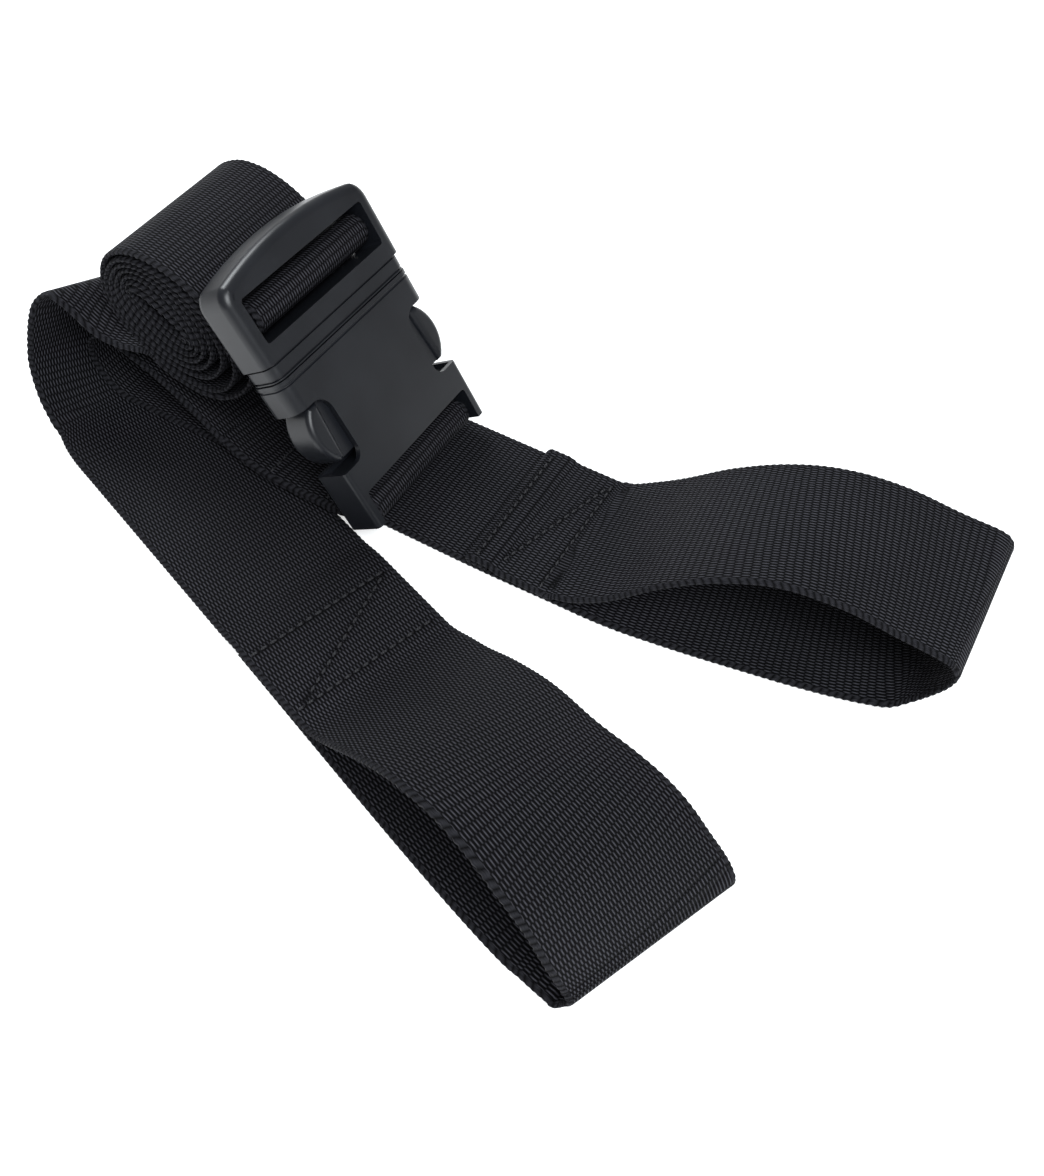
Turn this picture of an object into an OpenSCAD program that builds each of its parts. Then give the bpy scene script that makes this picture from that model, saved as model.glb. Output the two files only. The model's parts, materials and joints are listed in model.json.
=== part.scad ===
// Luggage strap in two lengths of webbing, joined by a side-release buckle.
// Each length ends in a sewn loop; the spare of the adjustable length is rolled up.
// The row's X axis runs along the fixed strap, from its bend to its loop. Z is up.
// The origin is on the surface the strap lies on, under the fixed strap beside the buckle.

/* [Webbing] */
// Width of the webbing
web_w = 50; // [40:1:50]
// Thickness of the webbing
web_t = 1.4; // [1:0.1:1.4]
// Gap between layers that lie on each other
layer_gap = 0.1; // [0.1:0.05:0.2]

/* [Lay] */
// Angle on the ground between the adjustable and the fixed strap
strap_angle = 18.9; // [17:0.1:20]
// Height of the adjustable strap's loop
adjust_loop_h = 34.5; // [30:0.5:38]
// Height of the fixed strap's loop
fixed_loop_h = 34; // [30:1:38]
// Length of the rolled-up spare, seen from the side
roll_l = 50; // [46:0.5:50.5]
// Height of the rolled-up spare across its length
roll_h = 40; // [38:0.5:40.5]
// Slope of the rolled-up spare
roll_slope = 33; // [28:1:36]

/* [Buckle] */
// Thickness of the buckle
buckle_t = 13; // [12:0.5:14]
// Slope at which the buckle leans on the roll
buckle_tilt = 57.5; // [56:0.5:58.5]
// Turn of the buckle on the ground, away from the fixed strap
buckle_turn = -3.5; // [-4:0.5:-3]
// Lean of the buckle to its far side
buckle_lean = -5; // [-5.5:0.5:-4]
// Rise of the buckle's outer end over its corners
crossbar_rise = 4.2; // [3:0.1:5]
// Wall between the plug and the outside
wall = 1.8; // [1.5:0.1:2]

/* [Stitching] */
// Length of one stitch
stitch_l = 2.2; // [1.8:0.1:2.4]
// Distance from one stitch to the next
stitch_pitch = 3; // [2.8:0.1:3.5]
// Thickness of the thread
thread_d = 0.7; // [0.5:0.1:0.9]

/* [Hidden] */

$fn = 48;
fit_gap = 0.3;              // room between pieces that move past each other
over = 1;                   // how far a cutting shape runs past what it cuts
webbing_color = [0.09, 0.09, 0.1];
plastic_color = [0.24, 0.25, 0.27];
thread_color = [0.05, 0.05, 0.055];

// ---- Heights of the layers above the ground, at mid thickness
layer = web_t + layer_gap;
level = [for (i = [0:3]) web_t / 2 + i * layer];

// ---- Buckle, measured in its own plane: X from its outer end to its bar, Y across
frame_w = web_w + 12;       // width of the male frame
frame_end = 22.3;           // where the frame ends and the collar begins
window_x = [4.3, 17.5];     // the opening that holds the adjusting bar
window_w = web_w + 2.6;
adjust_bar_x = 11;
adjust_bar_r = 2.6;
collar_end = 27;
collar_w = web_w + 9.5;
tongue_end = 55;
tongue_w = 12;
tongue_t = 6;
arm_root_x = 30.8;
arm_gap = 0.6;              // between the arms' roots and the block they grow from
arm_t = 8.6;
mouth_x = collar_end + fit_gap;
cavity_end = 60;
cavity_w = web_w + 5;
cavity_t = buckle_t - 2 * wall;
shoulder_x = 37;            // where the side windows begin
neck_x = 58.5;              // where they end
body_end = 67;
fixed_bar_x = 74;
fixed_bar_r = 3.2;
rail_end = 77.5;
mouth_w = web_w + 11.5;
rail_w = web_w + 7.6;
rail_gap = web_w + 1.4;     // between the rails beside the fixed bar

// ---- The place of the buckle: its fixed bar is the point that it turns on
bar_at = [-14.8, -5.6, 10.8];

module on_buckle() {
    translate(bar_at) rotate([0, 0, buckle_turn]) rotate([0, buckle_tilt, 0]) rotate([buckle_lean, 0, 0])
        translate([-fixed_bar_x, 0, 0]) children();
}
function turned_x(v, a) = [v[0], v[1] * cos(a) - v[2] * sin(a), v[1] * sin(a) + v[2] * cos(a)];
function turned_y(v, a) = [v[0] * cos(a) + v[2] * sin(a), v[1], -v[0] * sin(a) + v[2] * cos(a)];
function turned_z(v, a) = [v[0] * cos(a) - v[1] * sin(a), v[0] * sin(a) + v[1] * cos(a), v[2]];
function buckle_point(v) = bar_at + turned_z(
    turned_y(turned_x(v - [fixed_bar_x, 0, 0], buckle_lean), buckle_tilt), buckle_turn
);

// ---- The roll, and the adjustable strap's direction on the ground
roll_at = [-79.5, -2, 48.5];
adjust_at = [-15.4, -59.4, 0];
function roll_point(turn, out) =
    let (a = roll_l / 2 + out, b = roll_h / 2 + out, x = a * cos(turn), z = b * sin(turn))
    roll_at + [x * cos(roll_slope) + z * sin(roll_slope), 0, -x * sin(roll_slope) + z * cos(roll_slope)];
function along_adjust(x, y, z) = adjust_at + [
    x * cos(strap_angle) + y * sin(strap_angle), -x * sin(strap_angle) + y * cos(strap_angle), z
];

// ---- Routes: a smooth curve through a few rings, each [x, y, z, direction across, dip of the far edge]
function spline_ring(p, i, f) =
    let (a = p[max(i - 1, 0)], b = p[i], c = p[i + 1], d = p[min(i + 2, len(p) - 1)])
    0.5 * ((2 * b) + (c - a) * f + (2 * a - 5 * b + 4 * c - d) * f * f + (3 * b - a - 3 * c + d) * f * f * f);
function spline(p, steps) = [
    for (i = [0:len(p) - 2], k = [0:steps - 1]) spline_ring(p, i, k / steps),
    p[len(p) - 1]
];
function xyz(r) = [r[0], r[1], r[2]];
function unit(v) = v / norm(v);
function ring_tangent(r, i) = unit(xyz(r[min(i + 1, len(r) - 1)]) - xyz(r[max(i - 1, 0)]));
function ring_corners(r, i) =
    let (
        tangent = ring_tangent(r, i),
        across = [cos(r[i][3]) * cos(r[i][4]), sin(r[i][3]) * cos(r[i][4]), -sin(r[i][4])],
        lean = norm(across - (across * tangent) * tangent),
        half = across * web_w / 2 / lean,
        up = unit(cross(tangent, across)) * web_t / 2,
        mid = xyz(r[i])
    )
    [mid - half - up, mid + half - up, mid + half + up, mid - half + up];

// A length of webbing along a route
module ribbon(rings) {
    n = len(rings);
    points = [for (i = [0:n - 1]) each ring_corners(rings, i)];
    sides = [
        for (i = [0:n - 2], k = [0:3])
            let (a = 4 * i + k, b = 4 * i + (k + 1) % 4)
            each [[a, b, b + 4], [a, b + 4, a + 4]]
    ];
    last = 4 * (n - 1);
    polyhedron(points = points, faces = concat([[3, 2, 1, 0]], sides, [[last, last + 1, last + 2, last + 3]]));
}

// ---- The routes
across_fixed = 90;
across_adjust = 90 - strap_angle;
bend_across = 86;
adjust_sewn_x = [6, 28.5];          // stitch lines, along the adjustable strap
adjust_climb_x = [-9, 1];           // where the strap climbs onto its own sewn end
adjust_raw_x = 2;
adjust_floor_start = -107.4;
adjust_fold_x = 133;
fixed_sewn_x = [18, 39];            // stitch lines, along the fixed strap
fixed_hem_x = [14.5, 23];
fixed_step_x = [-40, -24];          // where the fixed strap steps down off the other strap
fixed_run_x = [-108, 41];
fixed_end_x = 149.5;
bar_sewn_x = [-52, -31];
sewn_end_x = [-71, -22];

function adjust_ring(x, y, z, turn, dip) = concat(along_adjust(x, y, z), [across_adjust - turn, dip]);
adjust_loop_route = [
    adjust_ring(adjust_raw_x, 0, level[0], 0, 0),
    adjust_ring(70, -0.5, level[0], 0, 0),
    adjust_ring(adjust_fold_x - 28, 0, level[0], 0, 0),
    adjust_ring(adjust_fold_x - 14, 1.5, level[0] + 0.1, 1, 0),
    adjust_ring(adjust_fold_x - 5, 3, 1.4, 3, 0),
    adjust_ring(adjust_fold_x - 0.5, 4.3, 3.4, 5, 0),
    adjust_ring(adjust_fold_x + 0.6, 4.5, 6, 5, 0),
    adjust_ring(adjust_fold_x - 1.5, 4.5, 9.5, 5, 0),
    adjust_ring(adjust_fold_x - 7, 3.5, 17.5, 4, 4),
    adjust_ring(adjust_fold_x - 16, 2.5, 27, 3, 9),
    adjust_ring(adjust_fold_x - 28, 1, 33.5, 1, 13),
    adjust_ring(adjust_fold_x - 42, 0, adjust_loop_h, 0, 16),
    adjust_ring(76, 0, adjust_loop_h * 0.88, 0, 13),
    adjust_ring(62, 0, adjust_loop_h * 0.64, 0, 9),
    adjust_ring(50, 0, adjust_loop_h * 0.37, 0, 5),
    adjust_ring(42, 0, 7, 0, 1),
    adjust_ring(37, 0, 3.9, 0, 0),
    adjust_ring(33.5, 0, 2.5, 0, 0),
    adjust_ring(31.2, 0, level[1] + 0.05, 0, 0)
];
fixed_loop_route = [
    [fixed_run_x[1] + 0.1, 1, level[0], 90, 0],
    [58, 1, level[0], 90, 0],
    [74, 3, level[0], 90, 0],
    [92, 6, level[0], 90, 0],
    [113, 10, level[0] + 0.1, 90, 0],
    [133, 15, 1.3, 90, 0],
    [142, 18, 5, 90, 0],
    [147.5, 19, 13, 90, 0],
    [fixed_end_x, 19.5, 19, 90, 0],
    [fixed_end_x - 1, 19.5, 22, 90, 0],
    [145, 19.5, 24, 90, 1],
    [133, 18, 26.8, 90, 3],
    [118, 15, fixed_loop_h - 2.3, 90, 5],
    [102, 11, fixed_loop_h, 90, 6],
    [87, 7, fixed_loop_h * 0.91, 90, 4],
    [73, 4, fixed_loop_h * 0.68, 90, 1],
    [60, 2, fixed_loop_h * 0.36, 90, -2],
    [50, 1, 5.6, 90, -2],
    [44, 0.5, 2.9, 90, 0],
    [41, 0, 2.35, 90, 0],
    [38, 0, level[1], 90, 0],
    [33, 0, level[1], 90, 0],
    [27, 0, level[1], 90, 0],
    [25.5, 0, level[1] + 0.2, 90, 0],
    [fixed_hem_x[1], 0, level[2] - 0.2, 90, 0],
    [fixed_hem_x[1] - 1.5, 0, level[2], 90, 0],
    [18, 0, level[2], 90, 0],
    [fixed_hem_x[0] + 2, 0, level[2], 90, 0],
    [fixed_hem_x[0] + 0.7, 0, (level[1] + level[2]) / 2, 90, 0],
    [fixed_hem_x[0] + 2, 0, level[1], 90, 0],
    [fixed_hem_x[1] - 1, 0, level[1], 90, 0]
];
bend_end = [-107, -6, 36, 82, 11];
outer_bend_route = [
    [-117, -24, level[0], bend_across, 0],
    [-126, -20.5, 5.5, 85, 3],
    [-129.5, -15, 21, 83, 8],
    [-124.5, -11, 35, 81, 14],
    [-115, -8, 40.5, 80, 17],
    bend_end
];
lead_gap = fit_gap + web_t / 2;
lead_start = 262;
function lead_ring(turn) = concat(roll_point(turn, lead_gap), [across_fixed, 0]);
upper_run_route = [
    [-106.2, -5.7, 35.6, 82.4, 10.4],
    [-101, -4, 33, 86, 4],
    lead_ring(lead_start - 3)
];
slot_across = 90.4;
slot_dip = 2;
load_lead_route = [
    for (turn = [lead_start:12.5:387]) lead_ring(turn),
    concat(buckle_point([13.8, 1, -11]), [slot_across, slot_dip]),
    concat(buckle_point([14.4, 1, -6.2]), [slot_across, slot_dip])
];
tail_lead_route = [
    concat(buckle_point([7.6, 1, -6.2]), [slot_across, slot_dip]),
    concat(buckle_point([8.4, 1, -9]), [slot_across, slot_dip]),
    for (turn = [76:12:136]) lead_ring(turn)
];
inner_bend_route = [
    [fixed_run_x[0], 0, level[1], 90, 0],
    [-117, 0, 3.4, 90, 0],
    [-122.5, 0, 8.5, 90, 0],
    [-124.2, 0, 16, 90, 0],
    [-122, 0, 23.5, 90, 0],
    [-116, 0, 27.5, 90, 0],
    [-108, 0, 25.5, 90, 0]
];
return_route = [
    [-108, 0, 25.5, 90, 0],
    [-96, 0, 20, 90, 0],
    [-84, -1, 13.8, 90, 0],
    [-72, -2.5, 7.6, 90, 0],
    [-62, -4, 4.6, 90, 0],
    [-54, -5, level[2], 90, 0],
    [-46, bar_at[1], level[2], 90, 0],
    [-16, bar_at[1], level[2], 90, 0]
];
sewn_end_route = [
    [sewn_end_x[0], -2.5, 8.8, 90, 0],
    [-62, -4, 4.6 + layer, 90, 0],
    [-54, -5, level[3], 90, 0],
    [-46, bar_at[1], level[3], 90, 0],
    [sewn_end_x[1], bar_at[1], level[3], 90, 0]
];

// ---- Buckle: the half that the fixed strap is sewn to
module side_window() {
    offset(4) offset(-4) translate([shoulder_x, mouth_w / 2 - 11.5]) square([neck_x - shoulder_x, 30]);
}

module female_outline() {
    difference() {
        offset(2) offset(-2) union() {
            translate([mouth_x, -mouth_w / 2]) square([shoulder_x + 4 - mouth_x, mouth_w]);
            translate([mouth_x, -rail_w / 2]) square([rail_end - mouth_x, rail_w]);
        }
        side_window();
        mirror([0, 1]) side_window();
        translate([body_end, -rail_gap / 2]) square([20, rail_gap]);
    }
}

module female_body() {
    color(plastic_color) on_buckle() {
        difference() {
            translate([0, 0, -buckle_t / 2]) linear_extrude(buckle_t) female_outline();
            translate([mouth_x - over, -cavity_w / 2, -cavity_t / 2])
                cube([cavity_end - mouth_x + over, cavity_w, cavity_t]);
        }
        translate([fixed_bar_x, rail_w / 2 - 1, 0]) rotate([90, 0, 0])
            cylinder(r = fixed_bar_r, h = rail_w - 2);
    }
}

// ---- Buckle: the half that the adjustable strap runs through
module frame_outline() {
    chord = frame_w / 2;
    arc_r = (chord * chord + crossbar_rise * crossbar_rise) / (2 * crossbar_rise);
    offset(2.5) offset(-2.5) intersection() {
        translate([arc_r - crossbar_rise, 0]) circle(r = arc_r, $fn = 180);
        translate([-crossbar_rise, -chord]) square([frame_end + crossbar_rise, frame_w]);
    }
}

module male_frame() {
    color(plastic_color) on_buckle() {
        difference() {
            union() {
                translate([0, 0, -buckle_t / 2]) linear_extrude(buckle_t) frame_outline();
                translate([frame_end - 3, -collar_w / 2, -buckle_t / 2 + 0.5])
                    cube([collar_end - frame_end + 3, collar_w, buckle_t - 1]);
            }
            translate([window_x[0], -window_w / 2, -buckle_t])
                cube([window_x[1] - window_x[0], window_w, 2 * buckle_t]);
        }
        translate([adjust_bar_x, window_w / 2 + over, 0]) rotate([90, 0, 0])
            cylinder(r = adjust_bar_r, h = window_w + 2 * over);
        translate([collar_end - over, -cavity_w / 2 + 1, -arm_t / 2])
            cube([arm_root_x - arm_gap - collar_end + over, cavity_w - 2, arm_t]);
        translate([collar_end - over, -tongue_w / 2, -tongue_t / 2])
            cube([tongue_end - collar_end + over, tongue_w, tongue_t]);
    }
}

// One spring arm, with the button that stands out of the side window
module arm() {
    color(plastic_color) translate([0, 0, -arm_t / 2]) linear_extrude(arm_t) offset(1) offset(-1) union() {
        polygon([
            [arm_root_x, 16], [46, 13.5], [54, 15.5], [55.5, 20],
            [46, 24], [shoulder_x + 0.5, 25.5], [arm_root_x, 24]
        ]);
        intersection() {
            translate([46.5, 18.2]) circle(r = 12);
            translate([shoulder_x + 0.5, 18]) square([20.3, 20]);
        }
    }
}
module male_arm_near() { on_buckle() mirror([0, 1, 0]) arm(); }
module male_arm_far() { on_buckle() arm(); }

// ---- Webbing of the adjustable strap
module on_adjust() { translate(adjust_at) rotate([0, 0, -strap_angle]) children(); }

module adjust_strap_loop() { color(webbing_color) ribbon(spline(adjust_loop_route, 5)); }

module adjust_strap_floor_run() {
    color(webbing_color) on_adjust() difference() {
        translate([0, web_w / 2, 0]) rotate([90, 0, 0]) linear_extrude(web_w) polygon([
            [adjust_floor_start - 10, 0], [adjust_climb_x[0], 0],
            [adjust_climb_x[1], layer], [31, layer], [31, layer + web_t],
            [adjust_climb_x[1], layer + web_t], [adjust_climb_x[0], web_t], [adjust_floor_start - 10, web_t]
        ]);
        translate([adjust_floor_start, 0, 0]) rotate([0, 0, strap_angle + bend_across - 90])
            translate([-40, -web_w, -over]) cube([40, 2 * web_w, web_t + 2 * over]);
    }
}

module adjust_strap_outer_bend() { color(webbing_color) ribbon(spline(outer_bend_route, 6)); }
module adjust_strap_upper_run() { color(webbing_color) ribbon(spline(upper_run_route, 4)); }
module adjust_strap_load_lead() { color(webbing_color) ribbon(spline(load_lead_route, 2)); }

module adjust_strap_tail_lead() { color(webbing_color) ribbon(spline(tail_lead_route, 3)); }

module adjust_strap_bar_wrap() {
    inner = adjust_bar_r + layer_gap;
    outer = inner + web_t;
    leg = 5.5;
    color(webbing_color) on_buckle() translate([adjust_bar_x, web_w / 2 + 1, 0]) rotate([90, 0, 0])
        linear_extrude(web_w) union() {
            difference() {
                circle(r = outer);
                circle(r = inner);
                translate([-outer - over, -2 * outer]) square([2 * (outer + over), 2 * outer]);
            }
            for (x = [-outer, inner]) translate([x, -leg]) square([web_t, leg + 0.2]);
        }
}

module adjust_strap_tail_roll() {
    color(webbing_color) translate([0, roll_at[1] + web_w / 2, 0]) rotate([90, 0, 0]) linear_extrude(web_w)
        polygon([for (turn = [0:8:352]) let (p = roll_point(turn, 0)) [p[0], p[2]]]);
}

// ---- Webbing of the fixed strap
module fixed_strap_loop() { color(webbing_color) ribbon(spline(fixed_loop_route, 4)); }

module fixed_strap_floor_run() {
    color(webbing_color) translate([0, web_w / 2, 0]) rotate([90, 0, 0]) linear_extrude(web_w) polygon([
        [fixed_run_x[0], layer], [fixed_step_x[0], layer], [fixed_step_x[1], 0], [fixed_run_x[1], 0],
        [fixed_run_x[1], web_t], [fixed_step_x[1], web_t],
        [fixed_step_x[0], layer + web_t], [fixed_run_x[0], layer + web_t]
    ]);
}

module fixed_strap_inner_bend() { color(webbing_color) ribbon(spline(inner_bend_route, 5)); }
module fixed_strap_return_run() { color(webbing_color) ribbon(spline(return_route, 4)); }
module fixed_strap_sewn_end() { color(webbing_color) ribbon(spline(sewn_end_route, 4)); }

module fixed_strap_bar_wrap() {
    inner = fixed_bar_r + layer_gap;
    color(webbing_color) on_buckle() translate([fixed_bar_x, web_w / 2, 0]) rotate([90, 0, 0]) difference() {
        cylinder(r = inner + web_t, h = web_w);
        translate([0, 0, -over]) cylinder(r = inner, h = web_w + 2 * over);
    }
}

// ---- Seams: two rows across the strap and one slanting between them
module stitch_row(from, to) {
    run = to - from;
    heading = atan2(run[1], run[0]);
    for (k = [0:floor((norm(run) - stitch_l) / stitch_pitch)])
        translate(from + unit(run) * (k * stitch_pitch))
            rotate([0, -atan2(run[2], norm([run[0], run[1]])), heading])
                translate([0, -thread_d / 2, 0]) cube([stitch_l, thread_d, thread_d * 0.7]);
}

module seam(x, low, high) {
    y = web_w / 2 - 2;
    stitch_row([x[0], -y, low], [x[0], y, low]);
    stitch_row([x[1], -y, high], [x[1], y, high]);
}

module adjust_loop_stitching() {
    top = layer + web_t + layer_gap;
    x = adjust_sewn_x;
    color(thread_color) on_adjust() {
        seam(x, top, top);
        stitch_row([x[0] + 1.5, web_w / 2 - 5, top], [x[1] - 1, -web_w / 2 + 5, top]);
    }
}

module fixed_loop_stitching() {
    low = layer + web_t + layer_gap;
    x = fixed_sewn_x;
    color(thread_color) {
        seam(x, low + layer, low);
        stitch_row([x[0] + 10.5, -web_w / 2 + 16, low], [x[1] - 1, web_w / 2 - 5, low]);
    }
}

module fixed_bar_stitching() {
    color(thread_color) translate([0, bar_at[1], 0])
        seam(bar_sewn_x, 3 * layer + web_t, 3 * layer + web_t);
}

female_body();
male_frame();
male_arm_near();
male_arm_far();
adjust_strap_loop();
adjust_strap_floor_run();
adjust_strap_outer_bend();
adjust_strap_upper_run();
adjust_strap_load_lead();
adjust_strap_bar_wrap();
adjust_strap_tail_lead();
adjust_strap_tail_roll();
fixed_strap_loop();
fixed_strap_floor_run();
fixed_strap_inner_bend();
fixed_strap_return_run();
fixed_strap_sewn_end();
fixed_strap_bar_wrap();
adjust_loop_stitching();
fixed_loop_stitching();
fixed_bar_stitching();
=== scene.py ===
"""Looks of the luggage strap: two webbings and the side-release buckle between them.

Everything is built in metres in the part's own frame. Sizes in classes are in mm.
"""

import json
import logging
import math
from collections.abc import Callable, Iterable
from dataclasses import dataclass, field
from enum import Enum

import bmesh
import bpy
import numpy as np
from mathutils import Matrix, Vector


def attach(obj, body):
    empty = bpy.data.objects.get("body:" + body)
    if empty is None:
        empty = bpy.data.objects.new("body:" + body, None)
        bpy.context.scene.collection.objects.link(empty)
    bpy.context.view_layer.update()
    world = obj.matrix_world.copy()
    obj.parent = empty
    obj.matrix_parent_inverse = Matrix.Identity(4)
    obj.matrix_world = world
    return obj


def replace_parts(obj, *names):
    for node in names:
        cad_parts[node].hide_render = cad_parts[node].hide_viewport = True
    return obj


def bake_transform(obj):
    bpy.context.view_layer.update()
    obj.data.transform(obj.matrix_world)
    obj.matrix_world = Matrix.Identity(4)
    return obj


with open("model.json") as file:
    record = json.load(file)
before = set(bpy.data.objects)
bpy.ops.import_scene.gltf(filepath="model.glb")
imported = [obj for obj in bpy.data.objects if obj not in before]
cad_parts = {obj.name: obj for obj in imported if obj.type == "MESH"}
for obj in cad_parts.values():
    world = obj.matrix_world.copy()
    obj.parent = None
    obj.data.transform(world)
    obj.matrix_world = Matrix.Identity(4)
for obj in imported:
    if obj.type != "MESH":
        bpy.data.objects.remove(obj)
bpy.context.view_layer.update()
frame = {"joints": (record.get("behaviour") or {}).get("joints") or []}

LOG = logging.getLogger("luggage_strap")
MM = 0.001
SAME = 0.1  # how near two places in mm count as one
SHADE_ANGLE = math.radians(38)  # edges sharper than this stay crisp on plastic
CLOTH_ANGLE = math.radians(50)  # and on webbing
SAMPLES_PER_RING = 40  # points between two rings of a route
Point = tuple[float, float, float]
Ring = tuple[float, float, float, float, float]


class Axis(Enum):
    """The three directions of a piece on the bench."""

    X = 0
    Y = 1
    Z = 2


# ---------------------------------------------------------------- shader building


class Value:
    """A shader socket that can be used in plain arithmetic."""

    def __init__(self, graph: "Graph", socket: bpy.types.NodeSocket) -> None:
        """Wraps one output socket of a graph."""
        self.graph = graph
        self.socket = socket

    def _math(self, operation: str, *terms: "Value | float") -> "Value":
        """Adds one Math node.

        Args:
            operation: the Math node's operation.
            terms: its inputs in order.

        Returns:
            The node's result.
        """
        inputs = dict(enumerate(terms))
        return self.graph.node("ShaderNodeMath", {"operation": operation}, inputs)

    def __add__(self, other: "Value | float") -> "Value":
        """Sum."""
        return self._math("ADD", self, other)

    __radd__ = __add__

    def __sub__(self, other: "Value | float") -> "Value":
        """Difference."""
        return self._math("SUBTRACT", self, other)

    def __rsub__(self, other: float) -> "Value":
        """Reflected difference."""
        return self._math("SUBTRACT", other, self)

    def __mul__(self, other: "Value | float") -> "Value":
        """Product."""
        return self._math("MULTIPLY", self, other)

    __rmul__ = __mul__

    def __truediv__(self, other: "Value | float") -> "Value":
        """Quotient."""
        return self._math("DIVIDE", self, other)

    def __pow__(self, other: float) -> "Value":
        """Power."""
        return self._math("POWER", self, other)

    def cosine(self) -> "Value":
        """Cosine of an angle in radians."""
        return self._math("COSINE", self)

    def size(self) -> "Value":
        """Absolute value."""
        return self._math("ABSOLUTE", self)

    def at_least(self, low: float) -> "Value":
        """The larger of this and a number."""
        return self._math("MAXIMUM", self, low)

    def at_most(self, high: "Value | float") -> "Value":
        """The smaller of this and another."""
        return self._math("MINIMUM", self, high)

    def above(self, edge: float) -> "Value":
        """1 where this is above an edge, else 0."""
        return self._math("GREATER_THAN", self, edge)


class Graph:
    """The node tree of one material."""

    def __init__(self, name: str) -> None:
        """Starts a material with a Principled shader.

        Args:
            name: the material's name.
        """
        self.material = bpy.data.materials.new(name)
        self.material.use_nodes = True
        self.tree = self.material.node_tree
        self.shader = self.tree.nodes["Principled BSDF"]

    def node(
        self,
        kind: str,
        settings: dict[str, object] | None = None,
        inputs: dict[str | int, object] | None = None,
        output: str | int = 0,
    ) -> Value:
        """Adds a node.

        Args:
            kind: the node's type.
            settings: properties that are set first, with a ramp's stops under "stops".
            inputs: values or links of its sockets, by name or place.
            output: the socket to return.

        Returns:
            That output, ready for arithmetic.
        """
        made = self.tree.nodes.new(kind)
        for name, value in (settings or {}).items():
            if name == "stops":
                for stop, (place, colour) in zip(made.color_ramp.elements, value):
                    stop.position, stop.color = place, colour
            else:
                setattr(made, name, value)
        for name, value in (inputs or {}).items():
            self.feed(made.inputs[name], value)
        return Value(self, made.outputs[output])

    def feed(self, socket: bpy.types.NodeSocket, value: object) -> None:
        """Sets or links one input socket."""
        if isinstance(value, Value):
            self.tree.links.new(value.socket, socket)
        else:
            socket.default_value = value

    def surface(self, **inputs: object) -> None:
        """Sets or links sockets of the Principled shader, named with underscores."""
        for name, value in inputs.items():
            self.feed(self.shader.inputs[name.replace("_", " ")], value)

    def noise(self, place: Value, scale: float, detail: float = 2.0) -> Value:
        """Noise from 0 to 1 at a place."""
        settings = {"noise_dimensions": "3D"}
        inputs = {"Vector": place, "Scale": scale, "Detail": detail}
        return self.node("ShaderNodeTexNoise", settings, inputs)

    def blend(self, share: Value, low: tuple, high: tuple) -> Value:
        """A colour between two."""
        settings = {"data_type": "RGBA"}
        inputs = {0: share, 6: low, 7: high}
        return self.node("ShaderNodeMix", settings, inputs, 2)

    def bump(self, height: Value, strength: float, distance: float) -> Value:
        """A normal that is tipped by a height from 0 to 1."""
        inputs = {"Height": height, "Strength": strength, "Distance": distance}
        return self.node("ShaderNodeBump", None, inputs)


@dataclass(frozen=True)
class Pressed:
    """A line pressed into webbing, between two places (along, across) in mm."""

    start: tuple[float, float]
    end: tuple[float, float]
    width: float = 2.0
    depth: float = 1.0


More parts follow.
